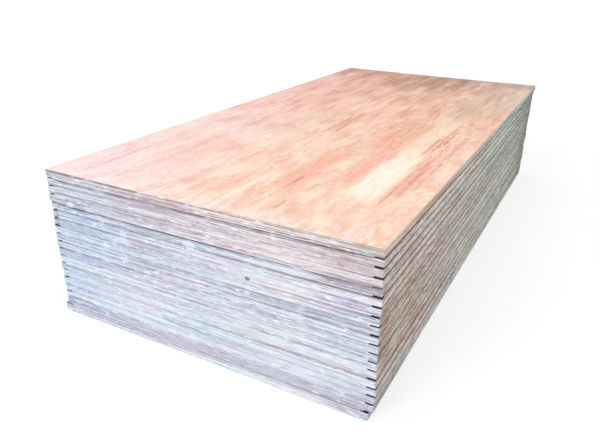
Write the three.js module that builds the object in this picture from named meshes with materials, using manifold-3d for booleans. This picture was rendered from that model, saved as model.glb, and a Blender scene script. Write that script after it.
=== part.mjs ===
// A stack of rabbeted plywood floor sheets, lying flat one on another.
//
// Millimetres, +Z up. The sheets' face grain runs along X. The origin is the centre of the
// stack's footprint, on the floor.
//
// A sheet is laid up from an odd number of veneers, each with its grain turned a quarter from
// the one below, and pressed into one board. Every second veneer is a crossband of softer wood,
// which the saw leaves a little behind the others, so the board's edges are finely stepped, ply
// by ply. A rabbet is then milled out of the underside along both long edges.

import * as THREE from 'three';
import { mergeVertices } from 'three/addons/utils/BufferGeometryUtils.js';
import Module from 'manifold-3d';

// ---------------------------------------------------------------- driving dimensions

const sheetLength = 2440;
const sheetWidth = 1160;
const sheetThickness = 28;

const veneersPerSheet = 19;
const crossbandSetback = 0.3;

const rabbetWidth = 25;
const rabbetDepth = 4;

// How each sheet came to lie, from the floor up: its shift along X and along Y, and its turn
// about Z in degrees. The sheets were set down one by one, and none is quite over the last. The
// lowest lies most askew, and the top one a little.
const lay = [
  { along: 0, across: 6.5, turn: -0.26 },
  { along: 2, across: 0, turn: 0.01 },
  { along: 2, across: 0, turn: 0.06 },
  { along: 3, across: -2, turn: 0.08 },
  { along: 0, across: -1, turn: 0.04 },
  { along: 2, across: -1, turn: 0.03 },
  { along: 1, across: 1, turn: 0.06 },
  { along: 0, across: 0, turn: 0.03 },
  { along: -1, across: -2, turn: 0.02 },
  { along: -2, across: 0, turn: 0.02 },
  { along: -1, across: 0, turn: 0.06 },
  { along: -2, across: 1, turn: 0 },
  { along: 0, across: 0, turn: 0.04 },
  { along: 1, across: -1, turn: 0.02 },
  { along: 3, across: 1, turn: -0.01 },
  { along: -3, across: 0, turn: 0.02 },
  { along: -1, across: 1, turn: -0.03 },
  { along: 0, across: 0, turn: -0.04 },
  { along: -3, across: -3, turn: -0.21 },
];

// ---------------------------------------------------------------- materials

const faceVeneer = { color: 0xefc3a6, roughness: 0.7, metalness: 0 };
const sawnEdge = { color: 0xcfc9cd, roughness: 0.85, metalness: 0 };

// ---------------------------------------------------------------- solids

const wasm = await Module();
wasm.setup();

// A closed three.js geometry as a solid that can be cut.
function toSolid(geometry) {
  geometry.deleteAttribute('normal');
  geometry.deleteAttribute('uv');
  const merged = mergeVertices(geometry);
  return new wasm.Manifold(new wasm.Mesh({
    numProp: 3,
    vertProperties: Float32Array.from(merged.attributes.position.array),
    triVerts: Uint32Array.from(merged.index.array),
  }));
}

// A cut solid back as a geometry with flat facets.
function toGeometry(solid) {
  const mesh = solid.getMesh();
  const indexed = new THREE.BufferGeometry();
  indexed.setAttribute('position', new THREE.BufferAttribute(mesh.vertProperties, 3));
  indexed.setIndex(new THREE.BufferAttribute(mesh.triVerts, 1));
  const faceted = indexed.toNonIndexed();
  faceted.computeVertexNormals();
  return faceted;
}

// ---------------------------------------------------------------- one sheet

// Height of the glue line over a number of veneers; the last is the sheet's top face.
const glueLine = (veneers) => (veneers * sheetThickness) / veneersPerSheet;

// The section of the sheet's edge, from the underside up, as points of (how far it stands back,
// height). Counted from the face veneer, the odd ones are crossbands.
function edgeSection() {
  const points = [];
  for (let veneer = 0; veneer < veneersPerSheet; veneer += 1) {
    const setback = veneer % 2 === 1 ? crossbandSetback : 0;
    points.push([setback, glueLine(veneer)], [setback, glueLine(veneer + 1)]);
  }
  return points;
}

// The board before milling: its edge section is carried round all four sides, mitred at the
// corners, and closed by the two faces.
function makeBoard() {
  const positions = [];
  const triangles = [];
  const section = edgeSection();
  section.forEach(([setback, height], ring) => {
    const x = sheetLength / 2 - setback;
    const y = sheetWidth / 2 - setback;
    positions.push(x, y, height, -x, y, height, -x, -y, height, x, -y, height);
    if (ring === section.length - 1) return;
    for (let side = 0; side < 4; side += 1) {
      const near = 4 * ring + side;
      const next = 4 * ring + ((side + 1) % 4);
      triangles.push(near, next, next + 4, near, next + 4, near + 4);
    }
  });
  const top = 4 * (section.length - 1);
  triangles.push(0, 2, 1, 0, 3, 2);
  triangles.push(top, top + 1, top + 2, top, top + 2, top + 3);

  const board = new THREE.BufferGeometry();
  board.setAttribute('position', new THREE.Float32BufferAttribute(positions, 3));
  board.setIndex(triangles);
  return toSolid(board);
}

// A cutter centred on one lower edge of the board, so that a quarter of it bites.
function makeRabbetCutter(side) {
  const pastTheEnds = 1.1 * sheetLength;
  const cutter = new THREE.BoxGeometry(pastTheEnds, 2 * rabbetWidth, 2 * rabbetDepth);
  cutter.translate(0, (side * sheetWidth) / 2, 0);
  return toSolid(cutter);
}

function makeSheet() {
  const milled = makeBoard().subtract(makeRabbetCutter(1)).subtract(makeRabbetCutter(-1));
  return toGeometry(milled);
}

// ---------------------------------------------------------------- the stack

const sheetGeometry = makeSheet();
const sheets = new THREE.Group();

lay.forEach(({ along, across, turn }, index) => {
  const isTop = index === lay.length - 1;
  const sheet = new THREE.Mesh(
    sheetGeometry,
    new THREE.MeshStandardMaterial(isTop ? faceVeneer : sawnEdge),
  );
  sheet.name = `sheet_${String(index + 1).padStart(2, '0')}`;
  sheet.position.set(along, across, index * sheetThickness);
  sheet.rotation.z = THREE.MathUtils.degToRad(turn);
  sheets.add(sheet);
});

// The shifts leave the footprint off centre, so the whole stack is centred on it.
const footprint = new THREE.Box3().setFromObject(sheets).getCenter(new THREE.Vector3());
sheets.position.set(-footprint.x, -footprint.y, 0);

const stack = new THREE.Group();
stack.add(sheets);

export default stack;
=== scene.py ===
# A stack of nineteen rabbeted plywood floor sheets, lying flat one on another.
#
# The front is the short end at low X, and the near side is the long one at low Y. Lengths are
# in millimetres until they go into a mesh, a lamp or the camera, which are in metres.

import bpy
import numpy as np
from mathutils import Matrix, Vector


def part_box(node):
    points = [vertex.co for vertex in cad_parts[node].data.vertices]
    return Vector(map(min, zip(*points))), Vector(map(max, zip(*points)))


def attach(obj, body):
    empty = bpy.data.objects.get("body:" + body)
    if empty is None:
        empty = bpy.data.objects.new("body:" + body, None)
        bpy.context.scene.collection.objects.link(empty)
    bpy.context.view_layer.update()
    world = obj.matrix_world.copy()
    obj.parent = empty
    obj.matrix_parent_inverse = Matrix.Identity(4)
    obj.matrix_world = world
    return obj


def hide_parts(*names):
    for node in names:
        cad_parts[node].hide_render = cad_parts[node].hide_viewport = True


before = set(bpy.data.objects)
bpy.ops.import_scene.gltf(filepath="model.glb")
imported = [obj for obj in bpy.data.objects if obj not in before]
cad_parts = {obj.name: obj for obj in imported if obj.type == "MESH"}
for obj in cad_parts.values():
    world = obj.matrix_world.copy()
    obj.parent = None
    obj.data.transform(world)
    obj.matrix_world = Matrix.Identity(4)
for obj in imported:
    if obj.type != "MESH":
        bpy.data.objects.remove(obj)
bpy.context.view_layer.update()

# ---------------------------------------------------------------- view
# Seen from a little above, off the corner between the front end and the near long side. The
# camera is placed from the middle of the stack's footprint, which the twelfth sheet gives: it
# lies square, 2 mm forward of that middle and 1 mm across from it.

low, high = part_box("sheet_12")
stack_middle = (low + high) / 2 - Vector((-0.002, 0.001, 0))
stack_middle.z = 0

eye = stack_middle + Vector((-2.4079, -0.9715, 1.1404))
sight = Vector((0.80929, 0.42468, -0.40583))
sight_right = Vector((0.47059, -0.88222, 0.01524))
sight_up = Vector((0.35156, 0.20331, 0.91382))
looking = Matrix((sight_right, sight_up, -sight)).transposed().to_4x4()

camera = bpy.data.objects.new("camera", bpy.data.cameras.new("camera"))
camera.data.sensor_width = 36
camera.data.lens = 34.85
camera.data.clip_end = 400
camera.matrix_world = Matrix.Translation(eye) @ looking
bpy.context.collection.objects.link(camera)
bpy.context.scene.camera = camera
bpy.context.scene.view_settings.view_transform = "Standard"

# ---------------------------------------------------------------- floor and light
# A pale studio floor without a horizon, one broad soft key from over the front left, a weak
# one from the near side, and an even white surround.


class Field:
    """Something that varies over a surface: a socket of a node tree.

    Sums on it add Math nodes, and any other node comes from its node method.
    """

    def __init__(self, tree, socket=None):
        self.tree = tree
        self.socket = socket

    def node(self, kind, settings, sockets, output=0):
        """Adds one node: its settings come first, then the values or links of its sockets."""
        added = self.tree.nodes.new(kind)
        for name, value in settings.items():
            setattr(added, name, value)
        for name, value in sockets.items():
            if isinstance(value, Field):
                self.tree.links.new(value.socket, added.inputs[name])
            else:
                added.inputs[name].default_value = value
        return Field(self.tree, added.outputs[output] if added.outputs else None)

    def math(self, operation, *terms):
        return self.node("ShaderNodeMath", {"operation": operation}, dict(enumerate(terms)))

    def __add__(self, other):
        return self.math("ADD", self, other)

    def __sub__(self, other):
        return self.math("SUBTRACT", self, other)

    def __rsub__(self, other):
        return self.math("SUBTRACT", other, self)

    def __mul__(self, other):
        return self.math("MULTIPLY", self, other)

    def __truediv__(self, other):
        return self.math("DIVIDE", self, other)

    def __mod__(self, other):
        return self.math("MODULO", self, other)

    def __pow__(self, other):
        return self.math("POWER", self, other)

    def __abs__(self):
        return self.math("ABSOLUTE", self)

    __radd__ = __add__
    __rmul__ = __mul__


def white_to_sight(tree):
    """1 for rays that look straight, in gloss or through glass, and 0 for those that carry light."""
    start = Field(tree)
    camera_ray = start.node("ShaderNodeLightPath", {}, {}, "Is Camera Ray")
    glossy_ray = start.node("ShaderNodeLightPath", {}, {}, "Is Glossy Ray")
    clear_ray = start.node("ShaderNodeLightPath", {}, {}, "Is Transmission Ray")
    return start.math("MAXIMUM", camera_ray, start.math("MAXIMUM", glossy_ray, clear_ray))


def shown(tree, kind, shader):
    """Links the last shader to the tree's output."""
    Field(tree).node(kind, {}, {"Surface": shader})


def grey(level):
    """A neutral colour of that much light, from 0 for black to 1 for white."""
    return (level, level, level, 1)


world = bpy.data.worlds.new("studio")
world.use_nodes = True
world.node_tree.nodes.clear()
start = Field(world.node_tree)
surround = start.node("ShaderNodeBackground", {}, {"Color": grey(1), "Strength": 0.8})
backdrop = start.node("ShaderNodeBackground", {}, {"Color": grey(1), "Strength": 1.0})
sky = start.node(
    "ShaderNodeMixShader", {}, {0: white_to_sight(world.node_tree), 1: surround, 2: backdrop}
)
shown(world.node_tree, "ShaderNodeOutputWorld", sky)
bpy.context.scene.world = world

for lamp_name, energy, angle, towards in (
    ("key", 1.4, 0.45, (-0.84, 0.30, 0.46)),
    ("fill", 0.36, 0.9, (-0.10, -0.97, 0.20)),
):
    lamp = bpy.data.objects.new(lamp_name, bpy.data.lights.new(lamp_name, "SUN"))
    lamp.data.energy = energy
    lamp.data.angle = angle
    lamp.rotation_euler = Vector(towards).to_track_quat("Z", "Y").to_euler()
    bpy.context.collection.objects.link(lamp)

floor_finish = bpy.data.materials.new("pale_floor")
floor_finish.use_nodes = True
floor_finish.node_tree.nodes.clear()
start = Field(floor_finish.node_tree)
matt = start.node("ShaderNodeBsdfDiffuse", {}, {"Color": grey(0.38)})
veil = start.node("ShaderNodeBsdfDiffuse", {}, {"Color": grey(0.28)})
glow = start.node("ShaderNodeEmission", {}, {"Color": grey(1), "Strength": 0.75})
lit = start.node("ShaderNodeAddShader", {}, {0: veil, 1: glow})
pale = start.node(
    "ShaderNodeMixShader", {}, {0: white_to_sight(floor_finish.node_tree), 1: matt, 2: lit}
)
shown(floor_finish.node_tree, "ShaderNodeOutputMaterial", pale)

floor_reach = 150
floor_corners = [(-1, -1), (1, -1), (1, 1), (-1, 1)]
floor_mesh = bpy.data.meshes.new("floor")
floor_mesh.from_pydata(
    [(floor_reach * along, floor_reach * across, 0) for along, across in floor_corners],
    [],
    [(0, 1, 2, 3)],
)
floor_mesh.materials.append(floor_finish)
floor = bpy.data.objects.new("floor", floor_mesh)
bpy.context.collection.objects.link(floor)

# ---------------------------------------------------------------- shape of a sheet
# Nineteen veneers pressed into a board 28 mm thick, sawn square on all four sides and rabbeted
# underneath along both long edges. The saw and rough handling leave each veneer's edge standing
# a little in or out of the next, with torn fibres, open joints in the core and blunt corners.

sheet_length = 2440.0
sheet_width = 1160.0
sheet_thickness = 28.0
half_length = sheet_length / 2
half_width = sheet_width / 2
veneers = 19
veneer = sheet_thickness / veneers
crossband_setback = 0.3
other_setback = 0.03
rabbet_width = 25.0
rabbet_depth = 4.0
stack_height = 532.0
sag = 2.4

# Turn of each sheet about Z as it was laid down, in degrees, from the floor up.
turns = [-0.26, 0.01, 0.06, 0.08, 0.04, 0.03, 0.06, 0.03, 0.02]
turns += [0.02, 0.06, 0, 0.04, 0.02, -0.01, 0.02, -0.03, -0.04, -0.21]

# Each veneer's edge keeps this far off its glue lines, so that the step between two has a slope.
lip = 0.1
# Lengths closer than this count as the same.
touch = 0.01
# Stations by a corner, as distances from it.
near_corner = np.array([0.0, 1.6, 4.0, 9.0, 16.0, 25.0])


def stations(length, spacing, closer=()):
    """Places across a side of that length.

    They lie close together by its two corners and evenly spaced between them, with closer ones
    where asked: each of these stretches has its start, its stop and its spacing.
    """
    inner = length / 2 - near_corner[-1]
    even = np.linspace(-inner, inner, round(2 * inner / spacing) + 1)
    extra = [np.arange(start, stop, step) for start, stop, step in closer]
    middle = np.unique(np.round(np.concatenate([even, *extra]), 2))
    by_low, by_high = near_corner - length / 2, (length / 2 - near_corner)[::-1]
    return np.concatenate([by_low, middle[1:-1], by_high])


def way_round(xs, ys):
    """The four sides as one closed path: along X at the low side, up Y, back along X, down Y."""
    low_end, high_end = np.full(len(ys) - 1, xs[0]), np.full(len(ys) - 1, xs[-1])
    low_side, high_side = np.full(len(xs) - 1, ys[0]), np.full(len(xs) - 1, ys[-1])
    x = np.concatenate([xs[:-1], high_end, xs[:0:-1], low_end])
    y = np.concatenate([low_side, ys[:-1], high_side, ys[:0:-1]])
    return x, y


def sides(xs, ys):
    """Where each side lies on that path: the low side, high end, high side and low end.

    Each is given as its points' numbers, from low to high.
    """
    nx, ny = len(xs) - 1, len(ys) - 1
    i, j = np.arange(nx + 1), np.arange(ny + 1)
    around = 2 * (nx + ny)
    return i, nx + j, 2 * nx + ny - i, (2 * nx + 2 * ny - j) % around


def wander(path, around, span, rows, rng):
    """Random levels from 0 to 1, one every span of the way round and a set for each row.

    Half-cosine steps join them: a + (b - a) (1 - cos(pi f)) / 2.
    """
    count = round(around / span)
    levels = rng.random((rows, count))
    place = path / around * count
    knot = np.floor(place).astype(int)
    step = (1 - np.cos(np.pi * (place - knot))) / 2
    return levels[:, knot % count] * (1 - step) + levels[:, (knot + 1) % count] * step


def edge_setbacks(x, y, rng, torn):
    """How far each veneer stands back from the sawn line, as veneers by stations.

    A crossband stands back more than the others. To that come a slow and a quick wander, torn
    spots of depth (1 - (2 d / length) ** 2), and a quarter circle at the corners, which is
    radius - sqrt(radius ** 2 - inside ** 2).
    """
    step = np.hypot(np.roll(x, -1) - x, np.roll(y, -1) - y)
    path = np.concatenate([[0], np.cumsum(step)[:-1]])
    around = step.sum()
    crossband = np.arange(veneers) % 2 == 1
    setback = np.where(crossband, crossband_setback, other_setback)[:, None]
    setback = setback + 0.25 * wander(path, around, 140, 1, rng)
    setback = setback + 0.22 * wander(path, around, 45, veneers, rng) ** 2
    for _ in range(torn):
        row = rng.integers(0, veneers)
        centre = rng.random() * around
        length = 20 + 70 * rng.random() ** 2
        away = np.abs((path - centre + around / 2) % around - around / 2)
        depth = (0.5 + 1.6 * rng.random()) * np.clip(1 - (2 * away / length) ** 2, 0, None)
        setback[row] += depth
        if crossband[row]:
            setback[row - 1 : row + 2] += 0.3 * depth
    from_corner = np.maximum(half_length - np.abs(x), half_width - np.abs(y))
    corner = (x > 0).astype(int) * 2 + (y > 0)
    radius = (1.2 + 2.6 * rng.random((veneers, 4)) * rng.random(4))[:, corner]
    inside = np.clip(radius - from_corner, 0, None)
    blunt = radius - np.sqrt(radius**2 - inside**2)
    # The corner's own point goes to the middle of the quarter circle, 1 - sqrt(1 / 2) in.
    return setback + np.where(from_corner < touch, 0.293 * radius, blunt)


def rings(x, y, levels):
    """Closed rows of points, one above another.

    Each level has its setback and its height, and a point stands back from the sides it is on.
    """
    rows = []
    for setback, height in levels:
        back_x = np.where(np.abs(x) > half_length - touch, setback, 0)
        back_y = np.where(np.abs(y) > half_width - touch, setback, 0)
        ring = [x - np.sign(x) * back_x, y - np.sign(y) * back_y, np.full(x.shape, height)]
        rows.append(np.stack(ring, axis=1))
    return np.concatenate(rows)


def walls(rows, on_end):
    """Quads between closed rows of point numbers: those on the ends, and those on the sides."""
    after = np.roll(rows, -1, axis=1)
    quads = np.stack([rows[:-1], after[:-1], after[1:], rows[1:]], axis=2).reshape(-1, 4)
    at_end = np.tile(on_end & np.roll(on_end, -1), len(rows) - 1)
    return quads[at_end].tolist(), quads[~at_end].tolist()


def ceiling(lower, upper, across_low_end, across_high_end):
    """A rabbet's ceiling, facing down, between two rows of point numbers along X.

    Quads fill it, but for a many-sided face at either end, which takes in the stations across
    the notch.
    """
    quads = np.stack([lower[1:-2], upper[1:-2], upper[2:-1], lower[2:-1]], axis=1).tolist()
    at_low_end = [*across_low_end.tolist(), int(upper[1]), int(lower[1])]
    at_high_end = [int(lower[-2]), int(upper[-2]), *across_high_end[::-1].tolist()]
    return quads, [at_low_end, at_high_end]


def plain_face(xs, border, height, count):
    """Closes a flat face with ladders of quads, facing down, on three rows of new points.

    The border is given as point numbers of the low side, high end, high side and low end. A
    many-sided face at either end takes in the stations close to the corners. New points are
    numbered from count.
    """
    near, high_end, far, low_end = border
    reach = len(near_corner) - 1
    rungs = np.arange(reach, len(xs) - reach)
    new_rows = (-300.0, 0.0, 300.0)
    points = np.array([[xs[rung], y, height] for rung in rungs for y in new_rows])
    added = count + np.arange(len(points)).reshape(len(rungs), -1)
    ladder = np.column_stack([near[rungs], added, far[rungs]])
    quads = np.stack([ladder[:-1, :-1], ladder[:-1, 1:], ladder[1:, 1:], ladder[1:, :-1]], axis=2)
    at_low_end = [low_end, far[1 : reach + 1], added[0, ::-1], near[reach:0:-1]]
    at_high_end = [near[-1 - reach : -reach], added[-1], far[-1 - reach : -1]]
    at_high_end += [high_end[::-1], near[-2 : -1 - reach : -1]]
    at_ends = [np.concatenate(numbers).tolist() for numbers in (at_low_end, at_high_end)]
    return points, quads.reshape(-1, 4).tolist(), at_ends


def whole_face(xs, ys, border, hollows, count):
    """The top face as a full grid within the same border, sunk by hollows of x and y.

    The grid's outer lines keep at least 4 mm + 0.3 d from the sides, where d is their own
    distance, so that they stay clear of the border's setbacks.
    """
    from_x, from_y = half_length - np.abs(xs), half_width - np.abs(ys)
    inner_x = np.sign(xs) * (half_length - np.maximum(from_x, 4 + 0.3 * from_x))
    inner_y = np.sign(ys) * (half_width - np.maximum(from_y, 4 + 0.3 * from_y))
    x, y = np.meshgrid(inner_x, inner_y, indexing="ij")
    inner = np.stack([x, y, sheet_thickness - hollows(x, y)], axis=2)[1:-1, 1:-1]
    numbers = np.zeros(x.shape, dtype=int)
    numbers[1:-1, 1:-1] = count + np.arange(inner[..., 0].size).reshape(inner.shape[:2])
    numbers[:, 0], numbers[-1], numbers[:, -1], numbers[0] = border
    corners = [numbers[:-1, :-1], numbers[1:, :-1], numbers[1:, 1:], numbers[:-1, 1:]]
    return inner.reshape(-1, 3), np.stack(corners, axis=2).reshape(-1, 4).tolist()


def sheet_shape(xs, ys, rng, torn, hollows=None):
    """A whole sheet about its own middle: its points, and its faces by their four finishes.

    Rows of points run round it from the underside up: the foot between the rabbets, then the
    full board, with two rows to a veneer and an eased arris. The rabbets' ceilings join the two.
    The finishes are sawn end, sawn side, bare veneer and top face, which only a sheet with
    hollows has.
    """
    x, y = way_round(xs, ys)
    setback = edge_setbacks(x, y, rng, torn)
    arris = 0.3 + 0.5 * wander(np.arange(len(x)), len(x), 9, 1, rng)[0]
    levels = [(setback[2], rabbet_depth), (setback[2], 3 * veneer - lip)]
    for number in range(3, veneers - 1):
        levels.append((setback[number], number * veneer + lip))
        levels.append((setback[number], (number + 1) * veneer - lip))
    levels.append((setback[-1], (veneers - 1) * veneer + lip))
    levels.append((setback[-1], sheet_thickness - 0.9))
    levels.append((setback[-1] + 0.3 * arris, sheet_thickness - 0.3))
    levels.append((setback[-1] + arris, sheet_thickness))
    points = rings(x, y, levels)
    board = np.arange(len(points)).reshape(len(levels), len(x))
    low_side, high_end, high_side, low_end = sides(xs, ys)

    # The foot's ends are as wide as it is between the rabbets, and its top row is the board's
    # lowest there.
    foot_ys = ys[np.abs(ys) <= half_width - rabbet_width + touch]
    notch = int(np.argmin(np.abs(ys - foot_ys[0])))
    between = slice(notch, len(ys) - notch)
    foot_x, foot_y = way_round(xs, foot_ys)
    foot_low_side, foot_high_end, foot_high_side, foot_low_end = sides(xs, foot_ys)
    ends = np.zeros((veneers, len(foot_x)))
    ends[:, foot_high_end] = setback[:, high_end[between]]
    ends[:, foot_low_end] = setback[:, low_end[between]]
    levels = [(ends[0] + 0.4, 0), (ends[0], 0.5), (ends[0], veneer - lip), (ends[1], veneer + lip)]
    levels += [(ends[1], 2 * veneer - lip), (ends[2], 2 * veneer + lip), (ends[2], rabbet_depth)]
    foot_points = rings(foot_x, foot_y, levels)
    foot = len(points) + np.arange(len(foot_points)).reshape(len(levels), len(foot_x))
    foot[-1, foot_high_end] = board[0, high_end[between]]
    foot[-1, foot_low_end] = board[0, low_end[between]]
    points = np.concatenate([points, foot_points])

    board_ends, sawn_sides = walls(board, np.abs(x) > half_length - touch)
    foot_ends, bare = walls(foot, np.abs(foot_x) > half_length - touch)
    loose = []
    for lower, upper, across in (
        (board[0, low_side], foot[-1, foot_low_side], slice(0, notch + 1)),
        (foot[-1, foot_high_side], board[0, high_side], slice(len(ys) - 1 - notch, len(ys))),
    ):
        quads, at_ends = ceiling(lower, upper, board[0, low_end[across]], board[0, high_end[across]])
        bare += quads
        loose += at_ends

    foot_border = [foot[0, side] for side in (foot_low_side, foot_high_end, foot_high_side, foot_low_end)]
    added, quads, at_ends = plain_face(xs, foot_border, 0.0, len(points))
    points = np.concatenate([points, added])
    bare += quads
    loose += at_ends
    border = [board[-1, side] for side in (low_side, high_end, high_side, low_end)]
    top_face = []
    if hollows is None:
        added, quads, at_ends = plain_face(xs, border, sheet_thickness, len(points))
        bare += [quad[::-1] for quad in quads]
        loose += [numbers[::-1] for numbers in at_ends]
    else:
        added, top_face = whole_face(xs, ys, border, hollows, len(points))
    points = np.concatenate([points, added])
    return points, [board_ends + foot_ends, sawn_sides, bare + loose, top_face]


def lay_down(name, shape, node, turn, finishes):
    """Turns a sheet's shape, sets it where its node lies and lets it sag between its long edges.

    The sag is sag (z / stack height) ** 2 (1 - (2 y / width) ** 2).
    """
    points, faces_by_finish = shape
    low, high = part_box(node)
    middle = (low + high) / 2
    angle = np.radians(turn)
    place = np.empty_like(points)
    place[:, 0] = points[:, 0] * np.cos(angle) - points[:, 1] * np.sin(angle) + 1000 * middle.x
    place[:, 1] = points[:, 0] * np.sin(angle) + points[:, 1] * np.cos(angle) + 1000 * middle.y
    place[:, 2] = points[:, 2] + 1000 * low.z
    bow = np.clip(1 - (2 * points[:, 1] / sheet_width) ** 2, 0, 1)
    place[:, 2] -= sag * (place[:, 2] / stack_height) ** 2 * bow
    mesh = bpy.data.meshes.new(name)
    mesh.from_pydata(place / 1000, [], [face for faces in faces_by_finish for face in faces])
    finish_numbers = [number for number, faces in enumerate(faces_by_finish) for _ in faces]
    mesh.polygons.foreach_set("material_index", finish_numbers)
    # Only the top face, the last of the four finishes, is shaded smooth.
    mesh.polygons.foreach_set("use_smooth", [number == 3 for number in finish_numbers])
    for material in finishes:
        mesh.materials.append(material)
    mesh.validate()
    mesh.update()
    sheet = bpy.data.objects.new(name, mesh)
    bpy.context.collection.objects.link(sheet)
    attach(sheet, "root")
    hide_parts(node)
    return sheet


# ---------------------------------------------------------------- sawn edges
# The cut ends of the veneers, whitened by weather and dust: bluish and lilac on the two short
# ends, warmer and browner along the long sides, streaked along each veneer and smeared pale.


def tint(red, green, blue):
    """A colour by its screen values from 0 to 255, as light: ((c / 255 + 0.055) / 1.055) ** 2.4."""
    light = [((level / 255 + 0.055) / 1.055) ** 2.4 for level in (red, green, blue)]
    return (*light, 1.0)


def rise(value, low, high):
    """0 below low and 1 above high, with a smooth step 3 f ** 2 - 2 f ** 3 between them."""
    settings = {"interpolation_type": "SMOOTHSTEP", "clamp": False}
    sockets = {"Value": value, "From Min": low, "From Max": high}
    return value.node("ShaderNodeMapRange", settings, sockets)


def band(value, low, high, soft):
    """1 between low and high, falling off over soft on either side."""
    return rise(value, low - soft, low + soft) * (1 - rise(value, high - soft, high + soft))


def cloud(x, y, z, size_x, size_y, size_z, detail=2.0, roughness=0.5):
    """Noise from 0 to 1, mostly near 0.5, whose blots are as large as the three sizes.

    A number added to a coordinate gives another noise of the same kind.
    """
    place = x.node("ShaderNodeCombineXYZ", {}, {0: x / size_x, 1: y / size_y, 2: z / size_z})
    sockets = {"Vector": place, "Scale": 1.0, "Detail": detail, "Roughness": roughness}
    return place.node("ShaderNodeTexNoise", {}, sockets)


def blend(under, over, share):
    """The first colour where share is 0 and the second where it is 1."""
    # The mixer's sockets 6 and 7 and its output 2 are those for colours.
    settings = {"data_type": "RGBA", "clamp_factor": True}
    return share.node("ShaderNodeMix", settings, {0: share, 6: under, 7: over}, 2)


def finish(colour, roughness, relief, depth):
    """Ends a matt wood material with its colour, its roughness and its fine relief.

    The relief is a height from 0 to 1, and depth is how many metres 1 stands for.
    """
    bump = relief.node("ShaderNodeBump", {}, {"Strength": 1.0, "Distance": depth, "Height": relief})
    sockets = {"Base Color": colour, "Roughness": roughness, "Normal": bump, "Specular IOR Level": 0.3}
    shader = relief.node("ShaderNodeBsdfPrincipled", {}, sockets)
    shown(colour.tree, "ShaderNodeOutputMaterial", shader)


def wood(name):
    """An empty material of that name, and the place on its surface in metres."""
    material = bpy.data.materials.new(name)
    material.use_nodes = True
    material.node_tree.nodes.clear()
    return material, Field(material.node_tree).node("ShaderNodeTexCoord", {}, {}, "Object")


def axes(place):
    """The x, y and z of a place."""
    return [place.node("ShaderNodeSeparateXYZ", {}, {0: place}, axis) for axis in range(3)]


def whole(value):
    """The whole number at or below a value."""
    return value.math("FLOOR", value)


def weathered(name, fray_share):
    """A material for one kind of sawn edge, and what varies over it.

    First come x, y and the level above the floor, had the stack not sagged, then the sheet's
    number from 0 up, and 1 for a crossband or 0. The noises come last: one that keeps to a
    veneer, one of short lines, and two from 0 to 1, for light streaks and for lilac ones.
    """
    material, place = wood(name)
    x, y, z = (1000 * axis for axis in axes(place))
    height_share = z / stack_height
    level = z + sag * height_share * height_share * (1 - (y / half_width) ** 2)
    veneer_number = whole(level / veneer)
    sheet_number = whole(level / sheet_thickness)
    crossband = (veneer_number - sheet_number * veneers) % 2
    # Streaks that keep to one veneer, lines that run the whole length of a side, shorter ones,
    # wide bands of one tone, wisps and frayed spots.
    own_streak = cloud(x, y, veneer_number * 3.7, 900, 900, 1, 2.0)
    short_line = cloud(x, y, level + 150, 110, 110, 3.0, 2.0, 0.6)
    lines = 0.26 * own_streak + 0.36 * cloud(x, y, level + 50, 1600, 1600, 3.4, 2.0, 0.6)
    lines = lines + 0.18 * short_line + 0.1 * cloud(x, y, level + 745, 500, 500, 17, 2.0)
    lines = lines + 0.1 * cloud(x, y, level + 250, 20, 20, 5, 2.0)
    lines = lines + fray_share * (cloud(x, y, level + 1500, 36, 36, 4.5, 3.0, 0.7) - 0.5)
    streak = rise(lines, 0.43, 0.53)
    lilac = rise(cloud(x, y, level + 900, 330, 330, 55, 3.0, 0.6), 0.42, 0.6)
    return material, (x, y, level), sheet_number, crossband, (own_streak, short_line, streak, lilac)


def weather(colour, x, y, level, torn, pale, end_grain, pale_share):
    """Ends an edge's colour with short torn fibres, dirty end grain and pale smears.

    It gives the colour and the edge's relief.
    """
    dash = cloud(x, y, level + 400, 60, 60, 2.4, 3.0, 0.6)
    colour = blend(colour, torn, 0.6 * rise(dash, 0.56, 0.68))
    colour = blend(colour, torn, 0.1 * end_grain)
    smear = cloud(x, y, level + 300, 42, 42, 5, 3.0, 0.6)
    colour = blend(colour, tint(*pale), pale_share * rise(smear, 0.55, 0.64))
    return colour, 0.5 * cloud(x, y, level, 7, 7, 0.8, 2.0, 0.6) + 0.5 * dash


def lay_stains_and_shade(colour, along, across, share, stains):
    """Lays stains, and the painted shade that some lists hold, on a side, where across is the level above
    the floor, or on a face.

    Each is a colour, where it starts and stops along and then across, its share, and how softly
    it ends along and across.
    """
    for over, start, stop, inner, outer, strength, soft_along, soft_across in stains:
        where = band(along, start, stop, soft_along) * band(across, inner, outer, soft_across)
        colour = blend(colour, tint(*over), strength * share * where)
    return colour


# The short ends: bluish white with lilac and grey lines, bluest at the front's left, and pinker in
# the four upper sheets.
sawn_end, (x, y, level), _, crossband, tones = weathered("sawn_end", fray_share=0.12)
own_streak, short_line, streak, lilac = tones
from_left = half_width - y
from_side = half_width - abs(y)
front = 1 - rise(x, -10, 10)
leftmost = 1 - rise(from_left, 130, 460)
blot = rise(cloud(x, y, level, 260, 260, 60, 3.0), 0.44, 0.62)
light = blend(tint(223, 241, 253), tint(236, 234, 253), lilac)
light = blend(light, tint(246, 253, 255), 0.6 * blot)
light = blend(light, tint(206, 232, 254), 0.5 * leftmost)
dark = blend(tint(166, 171, 191), tint(173, 157, 189), lilac)
dark = blend(dark, tint(148, 168, 198), 0.5 * leftmost)
edge_colour = blend(dark, light, streak)
rightward = rise(from_left, 250, 800)
topmost = rise(level, 502, 507)
light = blend(tint(250, 233, 234), tint(248, 230, 226), topmost)
dark = blend(tint(164, 144, 150), tint(160, 139, 141), topmost)
upper = rise(level + 14 * (lilac - 0.5), 406, 424)
warmth = upper * (0.3 + 0.2 * topmost + 0.5 * rightward)
edge_colour = blend(edge_colour, blend(dark, light, streak), warmth)
dim_share = 0.34 + 0.24 * upper * (1 - rightward)
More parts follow.
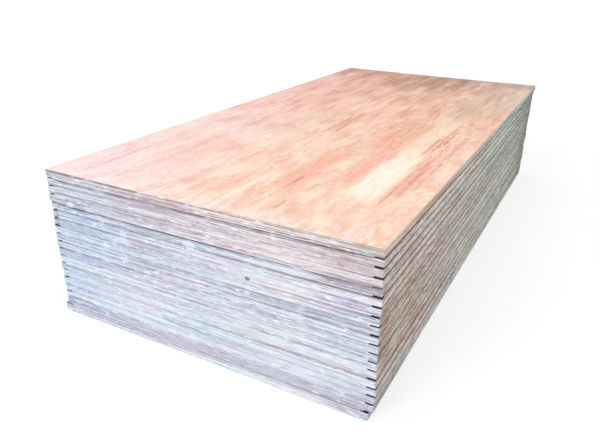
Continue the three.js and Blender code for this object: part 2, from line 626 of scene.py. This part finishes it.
edge_colour = blend(edge_colour, tint(128, 114, 142), dim_share * (1 - rise(own_streak, 0.35, 0.42)))
edge_colour = blend(edge_colour, tint(250, 252, 255), 0.52 * rise(own_streak, 0.57, 0.64))
torn = tint(138, 127, 154)
edge_colour, relief = weather(edge_colour, x, y, level, torn, (248, 255, 255), 1 - crossband, 0.9)

# Dirt lies in the joints between sheets, here and there.
joint = whole(level / sheet_thickness + 0.5)
above_joint = level - joint * sheet_thickness
in_joint = 1 - rise(abs(above_joint), 0.5, 1.7)
joint_dirt = 0.62 * rise(cloud(x, y, joint * 5.3, 300, 300, 1, 2.0), 0.42, 0.62)
edge_colour = blend(edge_colour, tint(104, 82, 98), in_joint * joint_dirt)
# Under two joints a dark line of shadow is painted where the sheet above overhangs, 1 mm under them by the
# corners and 5 mm farther in.
for joint_level, share in ((504, 0.7), (420, 0.9)):
    off_line = level - joint_level + 1 + 4 * rise(from_side, 12, 90)
    end_overhang_shadow = 1 - rise(abs(off_line), 1.6, 4.4)
    broken = 0.5 + 0.5 * rise(cloud(x, y, joint_level, 90, 90, 1, 2.0), 0.38, 0.55)
    broken = broken - 0.35 * band(from_left, 830, 950, 30)
    edge_colour = blend(edge_colour, tint(92, 78, 86), share * end_overhang_shadow * broken)
# The top sheet's upper edge is bruised and dirty.
bruised = rise(cloud(x, y, 90, 80, 80, 1, 3.0), 0.44, 0.58) * rise(level, 520, 527)
edge_colour = blend(edge_colour, tint(136, 124, 122), (0.6 - 0.4 * rightward) * bruised)
# The mouths of the notches are painted black by the near corner: painted shade for the depth of the slots.
off_notch_mouth = abs(above_joint - 1.5)
notch_mouth_shade = (1 - rise(off_notch_mouth, 2.7, 3.9)) * (1 - rise(from_side, 21, 25)) * (1 - rise(level, 526, 528))
notch_mouth_shade = notch_mouth_shade * (0.72 + 0.2 * rise(level, 440, 480)) * (1 - rise(y, -400, -300))
edge_colour = blend(edge_colour, tint(40, 34, 36), notch_mouth_shade)

# Some sheets are paler or darker here and there, and tannin has run along some joints, most of all towards
# the near corner. The last two are painted shadow, black under the sheets that overhang by the near corner.
end_stains_and_shade = [
    ((180, 206, 236), -60, 180, 114, 138, 0.3, 60, 5),
    ((228, 228, 242), 180, 340, 424, 446, 0.35, 50, 5),
    ((238, 246, 255), 660, 830, 200, 222, 0.4, 50, 5),
    ((150, 168, 204), -100, 330, 228, 250, 0.35, 60, 6),
    ((150, 146, 156), -100, 520, 478, 486, 0.5, 90, 2),
    ((150, 146, 156), -100, 520, 452, 460, 0.4, 90, 2),
    ((244, 246, 252), -100, 460, 464, 474, 0.4, 90, 2),
    ((246, 242, 246), -100, 620, 424, 432, 0.4, 90, 2),
    ((150, 156, 176), -60, 220, 338, 362, 0.35, 60, 5),
    ((228, 232, 242), -100, 240, 2, 24, 0.35, 60, 5),
    ((240, 250, 255), 180, 480, 88, 108, 0.35, 60, 5),
    ((238, 249, 255), 300, 560, 144, 166, 0.35, 60, 5),
    ((226, 232, 246), 340, 560, 4, 50, 0.3, 60, 5),
    ((188, 164, 156), 340, 560, 506, 528, 0.3, 60, 3),
    ((242, 242, 250), 500, 690, 310, 334, 0.35, 50, 5),
    ((240, 246, 255), 180, 340, 398, 414, 0.35, 50, 3),
    ((148, 148, 164), 330, 520, 397, 412, 0.3, 60, 3),
    ((158, 150, 168), 350, 490, 340, 364, 0.45, 40, 5),
    ((160, 158, 178), 350, 500, 284, 304, 0.35, 50, 5),
    ((176, 144, 150), 340, 560, 485, 495, 0.4, 60, 3),
    ((240, 244, 252), 480, 840, 366, 388, 0.35, 80, 8),
    ((255, 248, 250), 680, 1010, 310, 364, 0.4, 60, 10),
    ((255, 252, 255), 830, 960, 338, 362, 0.4, 50, 5),
    ((252, 246, 250), 830, 980, 396, 414, 0.4, 60, 4),
    ((246, 246, 255), 830, 1000, 196, 222, 0.4, 60, 6),
    ((232, 247, 255), 180, 800, 172, 194, 0.4, 90, 5),
    ((240, 250, 255), 60, 1240, 142, 166, 0.35, 120, 10),
    ((176, 184, 204), 990, 1240, 60, 104, 0.25, 60, 8),
    ((240, 250, 255), 660, 1240, 114, 136, 0.35, 80, 6),
    ((240, 250, 255), 160, 1010, 60, 82, 0.45, 90, 8),
    ((164, 166, 190), 520, 840, 91, 105, 0.3, 90, 5),
    ((170, 156, 180), -200, 1240, 34, 50, 0.36, 120, 5),
    ((186, 182, 172), 1085, 1300, 506, 540, 0.5, 30, 3),
    ((148, 110, 104), 1020, 1240, 421, 431, 0.4, 60, 3),
    ((172, 144, 142), 1000, 1240, 448, 496, 0.3, 60, 8),
    ((150, 104, 90), 980, 1240, 394, 416, 0.3, 60, 3),
    ((166, 142, 142), 640, 1240, 386, 392, 0.35, 60, 3),
    ((112, 102, 114), -60, 1240, 390.4, 392.6, 0.6, 90, 1),
    ((182, 166, 182), 780, 1240, 280, 306, 0.2, 60, 3),
    ((244, 250, 255), -100, 330, 198, 222, 0.3, 60, 5),
    ((150, 128, 122), 790, 1240, 333.6, 336.4, 0.75, 60, 1),
    ((252, 247, 226), 780, 1160, 339, 342, 0.2, 60, 1),
    ((164, 104, 106), 40, 1240, 26.4, 28.6, 0.8, 120, 1),
    ((184, 140, 144), 40, 1240, 20.4, 22.4, 0.5, 120, 1),
    # Painted shadow: black on the top edges of the eighteenth and the fourth sheet by the near corner,
    # under the sheets that overhang them.
    ((34, 28, 30), 1137, 1240, 500, 504, 0.7, 3, 1),
    ((34, 28, 30), 1137, 1240, 108, 112, 0.7, 3, 1),
]
uneven = front * (0.7 + 0.6 * rise(short_line, 0.42, 0.56))
edge_colour = lay_stains_and_shade(edge_colour, from_left, level, uneven, end_stains_and_shade)


def spot(across, upward, reach_across, reach_up):
    """A blot on the front end, from its place across from the left corner and up from the floor.

    It is full where (a / reach across) ** 2 + (b / reach up) ** 2 is under 0.5.
    """
    away = ((from_left - across) / reach_across) ** 2 + ((level - upward) / reach_up) ** 2
    return front * (1 - rise(away, 0.5, 1.3))


# A few blots are bleached almost white.
bleached = [(95, 427, 15, 12), (565, 397, 24, 14), (235, 317, 13, 8)]
bleached += [(765, 296, 11, 8), (192, 42, 10, 6), (405, 370, 11, 6)]
for blot in bleached:
    edge_colour = blend(edge_colour, tint(240, 246, 255), 0.7 * spot(*blot))
# A knot, a nick, and two sheets whose left corners are bruised round.
edge_colour = blend(edge_colour, tint(108, 100, 104), 0.8 * spot(767, 342, 9, 6))
edge_colour = blend(edge_colour, tint(130, 122, 140), 0.55 * spot(552, 386, 3, 7))
for upward in (378, 350):
    bruise = spot(10, upward, 17, 13) - spot(13, upward, 11, 8)
    edge_colour = blend(edge_colour, tint(128, 112, 122), 0.85 * bruise)
finish(edge_colour, roughness=0.85, relief=relief, depth=0.0006)

# The long sides: straw and brown, redder by the front corner and greyer towards the far end.
sawn_side, (x, y, level), sheet_number, crossband, tones = weathered("sawn_side", fray_share=0.5)
own_streak, short_line, streak, lilac = tones
blot = rise(cloud(x, y, level, 260, 260, 60, 3.0), 0.36, 0.56)
farther = rise(x, -900, 500)
light = blend(tint(236, 226, 214), tint(246, 224, 210), lilac)
light = blend(light, tint(255, 252, 248), 0.7 * blot)
light = blend(light, tint(232, 240, 228), 0.75 * farther)
dark = blend(tint(152, 144, 128), tint(158, 118, 100), lilac)
dark = blend(dark, tint(150, 158, 146), 0.9 * farther)
edge_colour = blend(dark, light, streak)
near = 1 - rise(x, -950, -450)
rust = rise(cloud(x, y, level + 1200, 60, 60, 11, 3.0, 0.6), 0.49, 0.58)
edge_colour = blend(edge_colour, tint(188, 126, 106), 0.55 * near * rust)
by_corner = (1 - rise(x, -1195, -1110)) * band(level, 190, 350, 40)
edge_colour = blend(edge_colour, tint(186, 128, 108), 0.48 * by_corner)
fleck = rise(cloud(x, y, level + 1800, 18, 18, 4.5, 2.0), 0.5, 0.58)
edge_colour = blend(edge_colour, tint(255, 242, 242), 0.85 * near * band(level, 404, 502, 8) * fleck)
mossy = blend(tint(98, 114, 110), tint(228, 242, 236), streak)
edge_colour = blend(edge_colour, mossy, 0.7 * rise(x, -100, 700) * rise(level, 350, 450))
topmost = rise(level, 502, 507)
top_streak = rise(0.6 * own_streak + 0.4 * short_line, 0.43, 0.5)
top_colour = blend(tint(188, 140, 120), tint(255, 234, 214), top_streak)
top_far_colour = blend(tint(112, 124, 118), tint(226, 236, 226), top_streak)
top_colour = blend(top_colour, top_far_colour, rise(x, -700, 500))
edge_colour = blend(edge_colour, top_colour, 0.8 * topmost)
cool = (1 - rise(level, 20, 150)) * (1 - rise(x, -500, 400))
edge_colour = blend(edge_colour, blend(tint(134, 138, 140), tint(232, 238, 242), streak), 0.75 * cool)
edge_colour = blend(edge_colour, tint(94, 102, 98), 0.68 * rise(x, 600, 1260))
dim, pale = 1 - rise(own_streak, 0.35, 0.42), rise(own_streak, 0.57, 0.64)
edge_colour = blend(edge_colour, tint(94, 90, 86), (0.26 + 0.22 * farther) * dim)
edge_colour = blend(edge_colour, tint(250, 252, 248), (0.36 + 0.22 * farther) * pale)
# A painted highlight along the top sheet's upper arris.
edge_colour = blend(edge_colour, tint(255, 246, 232), 0.5 * rise(level, 524, 529))
patchy = cloud(x, y, level + 2100, 70, 70, 10, 3.0, 0.6)
edge_colour = blend(edge_colour, tint(98, 102, 92), 0.24 * farther * (1 - rise(patchy, 0.38, 0.5)))
edge_colour = blend(edge_colour, tint(238, 244, 236), 0.24 * farther * rise(patchy, 0.5, 0.62))
speckled = cloud(x, y, level + 2300, 30, 30, 3.5, 2.0)
edge_colour = blend(edge_colour, tint(92, 98, 90), 0.3 * farther * (1 - rise(speckled, 0.38, 0.48)))
edge_colour = blend(edge_colour, tint(242, 248, 242), 0.3 * farther * rise(speckled, 0.52, 0.62))
torn = blend(tint(150, 118, 104), tint(118, 120, 112), farther)
edge_colour, relief = weather(edge_colour, x, y, level, torn, (248, 240, 234), crossband, 0.5)

# A dark line is painted on the edge under each notch: painted shade standing in for the notch's shadow.
under_notch = sheet_thickness * (sheet_number + 1) - level
painted_notch_line = (1 - rise(under_notch, 2.2, 4.8)) * (1 - rise(level, 504, 508))
painted_notch_line = painted_notch_line * (0.6 + 0.5 * rise(cloud(x, y, sheet_number * 9.1, 120, 120, 1, 2.0), 0.4, 0.56))
# It is stronger or weaker on some sheets, given by their number from 0 up.
notch_line_changes = {1: -1, 2: 0.5, 5: -0.5, 7: 0.6, 8: -1, 9: 0.3, 10: -0.6, 11: 0.2}
notch_line_changes |= {13: -0.9, 14: 0.5, 15: -0.2, 16: 0.35, 17: 0.3}
uneven_notch_line = 1
for lined_sheet, change in notch_line_changes.items():
    uneven_notch_line = uneven_notch_line + change * sheet_number.math("COMPARE", sheet_number, lined_sheet, 0.5)
painted_notch_line = painted_notch_line * uneven_notch_line
edge_colour = blend(edge_colour, blend(tint(122, 102, 90), tint(88, 92, 88), farther), 0.68 * painted_notch_line)
# The top sheet hangs over further and further towards the far end, and a painted shadow line under it
# follows.
off_top_overhang = 502.5 - level - 3 - x / 270
top_overhang_shadow = (1 - rise(abs(off_top_overhang), 1.4, 3.4)) * rise(level, 474, 478)
edge_colour = blend(edge_colour, tint(104, 92, 88), 0.7 * top_overhang_shadow * (1 - topmost))
# Here too some sheets are paler or darker in places, from the front end and up. The last two are painted
# shade: dark lines under the fourth and the ninth sheet, which stand out far enough to hide their notches.
side_stains_and_shade = [
    ((84, 70, 64), 440, 466, 181, 192, 0.6, 6, 3),
    ((255, 252, 244), 700, 1300, 456, 471, 0.4, 90, 4),
    ((255, 250, 244), 380, 900, 482, 497, 0.4, 80, 4),
    ((255, 236, 224), 60, 700, 236, 248, 0.1, 60, 4),
    ((255, 236, 224), 60, 700, 264, 276, 0.14, 60, 4),
    ((255, 236, 224), 60, 700, 292, 304, 0.14, 60, 4),
    ((210, 234, 224), 1900, 2200, 516, 540, 0.4, 90, 5),
    ((250, 244, 238), 100, 620, 392, 412, 0.3, 70, 4),
    ((246, 252, 246), 1200, 1620, 438, 500, 0.22, 90, 8),
    ((236, 238, 226), 1300, 1600, 58, 82, 0.4, 70, 6),
    ((226, 230, 222), 1800, 2300, 58, 82, 0.4, 70, 6),
    ((106, 112, 108), 2230, 2500, 478, 502, 0.35, 60, 5),
    ((236, 236, 226), 760, 2060, 170, 194, 0.45, 120, 5),
    ((246, 244, 240), 860, 1110, 394, 418, 0.45, 60, 5),
    ((244, 236, 230), 80, 300, 450, 466, 0.3, 50, 4),
    ((148, 122, 114), 100, 300, 424, 446, 0.3, 60, 5),
    ((240, 226, 220), 100, 330, 338, 362, 0.35, 60, 5),
    ((236, 236, 226), 860, 1520, 114, 138, 0.35, 70, 5),
    ((236, 226, 220), 0, 300, 84, 140, 0.3, 60, 8),
    ((240, 242, 232), 860, 2200, 226, 250, 0.4, 90, 5),
    ((236, 240, 230), 860, 1100, 58, 82, 0.3, 70, 6),
    ((244, 250, 244), 1180, 1780, 422, 446, 0.45, 90, 5),
    ((118, 122, 112), 1260, 2080, 338, 362, 0.4, 90, 5),
    ((114, 118, 110), 1740, 2100, 114, 138, 0.4, 70, 5),
    ((112, 116, 108), 2240, 2500, 80, 370, 0.25, 60, 30),
    ((108, 110, 102), 1260, 2500, 28, 54, 0.4, 90, 6),
    ((136, 122, 114), -60, 260, 30, 56, 0.3, 60, 5),
    ((236, 226, 218), 0, 700, 60, 72, 0.4, 60, 3),
    ((84, 72, 68), -60, 1300, 75, 81.5, 0.74, 90, 1.5),
    ((76, 64, 60), -60, 1100, 214.5, 222, 0.54, 90, 1.5),
]
uneven = (1 - rise(y, -10, 10)) * (0.7 + 0.6 * rise(short_line, 0.42, 0.56))
edge_colour = lay_stains_and_shade(edge_colour, x + half_length, level, uneven, side_stains_and_shade)
# The corners are bleached like the ends.
at_corner = rise(abs(x), half_length - 12, half_length - 7)
edge_colour = blend(edge_colour, tint(212, 212, 220), 0.6 * at_corner)
finish(edge_colour, roughness=0.85, relief=relief, depth=0.0006)

# ---------------------------------------------------------------- bare veneer
# The faces that lie hidden in the stack, the underside and the milled rabbets: reddish brown
# hardwood, its grain along X, shown only in the notches and on the ledges between sheets.

bare_veneer, place = wood("bare_veneer")
x, y, z = (1000 * axis for axis in axes(place))
figure = cloud(x, y, z, 620, 38, 60, 3.0)
line = cloud(x, y, z, 240, 2.6, 40, 3.0, 0.6)
bare_colour = blend(tint(196, 158, 136), tint(226, 190, 166), rise(figure, 0.34, 0.66))
bare_colour = blend(bare_colour, tint(160, 118, 98), 0.45 * rise(line, 0.5, 0.75))
# Bleached along the ends like the sawn edges. In the notches of the rabbets it is painted black, painted
# shade for the deep slots, paler on their outer 3 mm.
from_end = half_length - abs(x)
from_side = half_width - abs(y)
bare_colour = blend(tint(190, 186, 194), bare_colour, rise(from_end, 8, 16))
notch = blend(tint(176, 164, 152), tint(46, 42, 40), rise(from_side, 2.5, 5.5))
notch = blend(tint(44, 36, 36), notch, rise(from_end, 14, 22))
bare_colour = blend(notch, bare_colour, rise(from_side, 27, 36))
finish(bare_colour, roughness=0.75, relief=line, depth=0.0003)

# ---------------------------------------------------------------- the lower eighteen sheets
# Each is one board, set down on the last by hand or fork, so none is quite over the one below.

lower_xs = stations(sheet_length, 18.0)
lower_ys = stations(sheet_width, 12.0)
torn_spots = 60
for index, turn in enumerate(turns[:-1]):
    shape = sheet_shape(lower_xs, lower_ys, np.random.default_rng(100 + index), torn_spots)
    node = f"sheet_{index + 1:02d}"
    sheet = lay_down(f"plywood_{node}", shape, node, turn, (sawn_end, sawn_side, bare_veneer))

# ---------------------------------------------------------------- the top sheet
# Its upper face is the one seen whole: rotary-cut hardwood veneer, pale salmon, browner and darker towards
# the far end, partly painted shade, with a cream sapwood patch, fine lengthwise grain and a few open
# checks.

face_veneer, place = wood("face_veneer")
low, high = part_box("sheet_19")
face_middle = (low + high) / 2
# The place on the face itself, turned with the sheet, from its middle and in millimetres.
on_face = place.node(
    "ShaderNodeMapping",
    {"vector_type": "TEXTURE"},
    {
        "Vector": place,
        "Location": (face_middle.x, face_middle.y, 0),
        "Rotation": (0, 0, np.radians(turns[-1])),
        "Scale": (0.001, 0.001, 0.001),
    },
)
lengthwise, crosswise, _ = axes(on_face)
# From the front end, and from the far long edge; then the same two, wandering and torn.
along = lengthwise + half_length
across = half_width - crosswise
drift = across + 26 * (cloud(along, across, 0, 420, 160, 1, 2.0) - 0.5)
ragged = along + 260 * (cloud(along, across, 7, 300, 24, 1, 3.0) - 0.5)

# Pink at the far long edge and peach at the near one, deepening to tan at the far end: partly the wood's
# own tone and partly painted shade of light falling off towards that end.
farther = rise(ragged, 450, 1600)
farthest = rise(ragged, 1500, 2330)
pink_side = blend(tint(251, 225, 222), tint(246, 205, 195), farther)
pink_side = blend(pink_side, tint(196, 146, 136), farthest)
peach_side = blend(tint(251, 213, 188), tint(240, 194, 168), farther)
peach_side = blend(peach_side, tint(182, 152, 136), farthest)
face_colour = blend(pink_side, peach_side, rise(drift, 60, 640))

plain = 1 - 0.65 * farther
blotch = cloud(along, drift, 3, 200, 72, 1, 3.0)
soft_blotch = cloud(along, drift, 41, 92, 36, 1, 2.0)
warmth = cloud(along, drift, 73, 150, 60, 1, 2.0)
creamy = rise(drift, 150, 500) * rise(warmth, 0.5, 0.64)
face_colour = blend(face_colour, tint(255, 240, 214), 0.5 * plain * creamy)
face_colour = blend(face_colour, tint(255, 204, 202), 0.4 * plain * (1 - rise(warmth, 0.36, 0.5)))
face_colour = blend(face_colour, tint(255, 236, 216), 0.5 * plain * rise(blotch, 0.51, 0.66))
face_colour = blend(face_colour, tint(240, 174, 154), 0.46 * (1 - rise(blotch, 0.34, 0.49)))
face_colour = blend(face_colour, tint(255, 240, 224), 0.3 * plain * rise(soft_blotch, 0.52, 0.66))
face_colour = blend(face_colour, tint(238, 172, 154), 0.27 * (1 - rise(soft_blotch, 0.34, 0.48)))
face_colour = blend(face_colour, tint(255, 214, 190), 0.35 * farther * rise(blotch, 0.51, 0.66))
face_colour = blend(face_colour, tint(204, 146, 124), 0.4 * farther * (1 - rise(blotch, 0.34, 0.49)))

# Ragged areas of other colours, then four that are broken up by blotches.
face_patches = [
    ((255, 236, 240), -300, 330, -100, 400, 0.45, 140, 90),
    ((250, 186, 168), 230, 680, 200, 260, 0.3, 90, 22),
    ((250, 188, 166), 230, 560, 280, 350, 0.45, 70, 22),
    ((232, 170, 152), 1250, 2150, 210, 450, 0.4, 160, 60),
    ((255, 220, 204), 1340, 1620, 370, 620, 0.5, 70, 40),
    ((252, 206, 186), 1690, 2000, 415, 485, 0.6, 80, 20),
    ((248, 174, 148), 230, 670, 690, 780, 0.7, 90, 22),
    ((252, 176, 160), 130, 260, 545, 600, 0.45, 40, 14),
    ((172, 120, 86), 1960, 2330, 350, 530, 0.62, 90, 40),
    ((170, 128, 100), 2070, 2500, 540, 820, 0.74, 90, 50),
    ((222, 168, 136), 1660, 1880, 660, 770, 0.5, 60, 22),
    ((186, 156, 120), 1490, 1740, 925, 1050, 0.5, 60, 30),
    ((255, 248, 240), -60, 280, 626, 650, 0.5, 60, 6),
    ((236, 158, 142), 930, 1130, 568, 602, 0.4, 50, 8),
    ((240, 172, 152), 1060, 1200, 465, 500, 0.35, 40, 12),
    ((206, 150, 122), 1540, 1670, 588, 612, 0.45, 40, 8),
    ((204, 140, 114), 1330, 1490, 714, 736, 0.45, 40, 6),
    ((252, 214, 208), 1850, 2120, 10, 110, 0.5, 80, 30),
    ((166, 112, 86), 2060, 2230, 445, 495, 0.4, 60, 16),
    ((150, 104, 84), 2190, 2400, 530, 558, 0.45, 60, 10),
    ((148, 92, 76), 2070, 2230, 750, 774, 0.5, 50, 8),
    ((222, 214, 204), 1640, 2440, 1070, 1200, 0.35, 120, 16),
    ((216, 194, 168), 1420, 1760, 905, 1150, 0.45, 90, 30),
    ((214, 164, 160), 1980, 2200, 140, 340, 0.5, 90, 30),
    ((190, 142, 132), 2200, 2350, 140, 240, 0.45, 50, 25),
    ((214, 202, 186), 1720, 2440, 950, 1180, 0.5, 120, 40),
    ((142, 96, 76), 2310, 2520, 510, 820, 0.74, 50, 40),
    ((146, 138, 130), 2260, 2500, 1020, 1200, 0.55, 60, 40),
    ((255, 176, 140), 0, 95, 1100, 1160, 0.5, 30, 20),
]
face_colour = lay_stains_and_shade(face_colour, ragged, drift, 1, face_patches)
broken_patches = [
    ((242, 168, 136), 780, 1230, 780, 915, 0.75, 90, 34),
    ((246, 174, 144), 370, 800, 850, 915, 0.8, 90, 26),
    ((232, 158, 138), 370, 760, 1036, 1078, 0.6, 70, 12),
    ((253, 232, 208), 1170, 1390, 1008, 1050, 0.5, 60, 14),
]
unbroken = 0.45 + 0.55 * rise(blotch, 0.36, 0.6)
face_colour = lay_stains_and_shade(face_colour, ragged, drift, unbroken, broken_patches)

mottle = cloud(along, drift, 29, 24, 15, 1, 3.0, 0.6)
face_colour = blend(face_colour, tint(255, 242, 230), 0.2 * plain * rise(mottle, 0.48, 0.64))
face_colour = blend(face_colour, tint(228, 160, 146), 0.17 * (1 - rise(mottle, 0.36, 0.52)))
# Farther off the figure is stronger, and gathered in some places.
gathered = farther * (0.3 + 0.9 * rise(cloud(along, drift, 120, 380, 120, 1, 2.0), 0.4, 0.6))
wide_figure = cloud(along, drift, 97, 300, 30, 1, 3.0)
face_colour = blend(face_colour, tint(255, 220, 192), 0.34 * gathered * rise(wide_figure, 0.48, 0.7))
face_colour = blend(face_colour, tint(202, 136, 112), 0.42 * gathered * (1 - rise(wide_figure, 0.32, 0.52)))
figure = cloud(along, drift, 83, 110, 14, 1, 2.0)
face_colour = blend(face_colour, tint(255, 222, 198), 0.18 * gathered * rise(figure, 0.48, 0.66))
face_colour = blend(face_colour, tint(196, 134, 110), 0.26 * gathered * (1 - rise(figure, 0.32, 0.5)))
broad = cloud(along, drift, 131, 380, 84, 1, 3.0)
face_colour = blend(face_colour, tint(250, 210, 186), 0.36 * farthest * rise(broad, 0.5, 0.64))
face_colour = blend(face_colour, tint(170, 120, 98), 0.4 * farthest * (1 - rise(broad, 0.34, 0.5)))
# The checked area by the sapwood is rough with short dark and light strokes.
rough = cloud(along, drift, 137, 56, 6, 1, 2.0)
rough_area = band(ragged, 700, 1360, 90) * (0.6 * band(drift, 780, 920, 30) + band(drift, 970, 1110, 30))
face_colour = blend(face_colour, tint(214, 134, 108), 0.4 * rough_area * (1 - rise(rough, 0.36, 0.5)))
face_colour = blend(face_colour, tint(255, 234, 208), 0.4 * rough_area * rise(rough, 0.5, 0.62))
# Blots in the first 100 mm by the front end are lighter: a painted highlight along that edge.
front_blots = cloud(along, across, 61, 55, 40, 1, 3.0, 0.6)
painted_front_highlight = (1 - rise(ragged, 20, 110)) * rise(front_blots, 0.4, 0.6)
face_colour = blend(face_colour, tint(253, 244, 240), 0.6 * painted_front_highlight)

grain = cloud(along, drift, 11, 130, 9, 1, 3.0, 0.6)
fine_grain = cloud(along, drift, 17, 48, 3.6, 1, 3.0, 0.6)
stroke = cloud(along, drift, 23, 110, 5, 1, 2.0)
face_colour = blend(face_colour, tint(216, 138, 118), (0.05 + 0.13 * gathered) * rise(grain, 0.5, 0.66))
face_colour = blend(face_colour, tint(255, 236, 216), 0.1 * plain * (1 - rise(grain, 0.32, 0.46)))
face_colour = blend(face_colour, tint(206, 132, 108), (0.07 + 0.15 * farther) * rise(fine_grain, 0.54, 0.7))
sparse = rise(cloud(along, drift, 127, 170, 80, 1, 2.0), 0.5, 0.62)
face_colour = blend(face_colour, tint(200, 122, 102), (0.04 + 0.5 * sparse) * rise(stroke, 0.61, 0.71))
far_end = rise(along, 2240, 2425)
face_colour = blend(face_colour, tint(168, 148, 140), 0.4 * far_end)
worn = 0.62 + 0.38 * rise(cloud(along, drift, 151, 70, 12, 1, 3.0), 0.4, 0.54)
frayed = drift + 66 * (cloud(along, across, 91, 110, 30, 1, 3.0, 0.6) - 0.5)
sapwood = band(ragged, 270, 800, 110) * band(frayed, 926, 1016, 16)
face_colour = blend(face_colour, tint(254, 248, 232), 0.9 * worn * sapwood)
sapwood = band(ragged, 700, 1390, 120) * band(frayed, 922, 1012, 20)
face_colour = blend(face_colour, tint(252, 234, 208), 0.44 * worn * sapwood)

# Checks and mineral lines: where each starts and stops along the face, how far across it lies,
# its width and its strength.
checks = [
    (60, 480, 111, 4.0, 0.35),
    (905, 1180, 560, 5.0, 0.75),
    (985, 1290, 578, 4.0, 0.7),
    (925, 1060, 597, 5.0, 0.6),
    (1000, 1070, 312, 4.0, 0.4),
    (1640, 1680, 120, 5.0, 0.5),
    (1066, 1180, 770, 4.0, 0.5),
    (1170, 1250, 797, 4.0, 0.45),
    (930, 1070, 820, 4.0, 0.5),
    (990, 1180, 856, 4.0, 0.5),
    (1340, 1440, 733, 4.0, 0.5),
    (2060, 2220, 762, 6.0, 0.5),
    (2230, 2310, 617, 8.0, 0.5),
    (262, 380, 746, 5.0, 0.7),
    (90, 155, 800, 5.0, 0.65),
    (278, 322, 817, 5.0, 0.65),
    (780, 1060, 1003, 4.0, 0.75),
    (850, 1290, 1021, 4.0, 0.75),
    (930, 1180, 1036, 4.0, 0.65),
    (365, 645, 1065, 4.0, 0.6),
    (250, 620, 1040, 4.0, 0.45),
    (420, 1100, 1092, 4.0, 0.45),
    (560, 960, 1056, 3.0, 0.4),
    (1560, 1660, 705, 5.0, 0.45),
]
ripple = across + 14 * (cloud(along, across, 31, 80, 60, 1, 2.0) - 0.5)
ripple = ripple + 5 * (cloud(along, across, 37, 22, 20, 1, 2.0) - 0.5)
check_marks = check_halos = 0
for start_at, stop_at, off, width, strength in checks:
    mark = band(along, start_at, stop_at, 25) * band(ripple, off - width / 2, off + width / 2, 1.6)
    halo = band(along, start_at, stop_at, 60) * band(ripple, off - 9, off + 9, 7)
    check_marks = mark.math("MAXIMUM", check_marks, strength * mark)
    check_halos = halo.math("MAXIMUM", check_halos, strength * halo)
broken = rise(cloud(along, across, 53, 34, 12, 1, 2.0), 0.42, 0.56)
check_marks = check_marks * (0.3 + 0.7 * broken)
face_colour = blend(face_colour, tint(228, 144, 118), 0.6 * check_halos * rise(soft_blotch, 0.36, 0.52))
face_colour = blend(face_colour, tint(176, 104, 84), check_marks)
face_relief = 0.5 * fine_grain + 0.5 * grain - 0.2 * check_marks
finish(face_colour, roughness=0.62 + 0.16 * grain, relief=face_relief, depth=0.0004)


def face_hollows(x, y):
    """How far the face lies below its highest plane, in mm.

    Long low waves, 0.1 (2 + sin + sin), and a groove exp(-(d / 1.6) ** 2) along each check. Both
    run out over the last 40 mm.
    """
    run_out = 40
    deep = 0.1 * (2 + np.sin(x / 210 + y / 90) + np.sin(x / 340 - y / 47 + 1.3))
    for start_at, stop_at, off, _, strength in checks:
        from_tip = np.minimum(x + half_length - start_at, stop_at - x - half_length)
        groove = np.exp(-(((half_width - y - off) / 1.6) ** 2))
        deep = deep + 0.3 * strength * np.clip(from_tip / run_out, 0, 1) * groove
    from_edge = np.minimum(half_length - np.abs(x), half_width - np.abs(y))
    return deep * np.clip(from_edge / run_out, 0, 1)


# The stations are 2 mm apart across the two stretches where most checks lie, by the near edge
# and in the middle.
top_xs = stations(sheet_length, 12.0)
top_ys = stations(sheet_width, 12.0, ((-528, -410, 2.0), (-24, 32, 2.0)))
shape = sheet_shape(top_xs, top_ys, np.random.default_rng(7), torn_spots, face_hollows)
finishes = (sawn_end, sawn_side, bare_veneer, face_veneer)
sheet = lay_down("plywood_sheet_19", shape, "sheet_19", turns[-1], finishes)
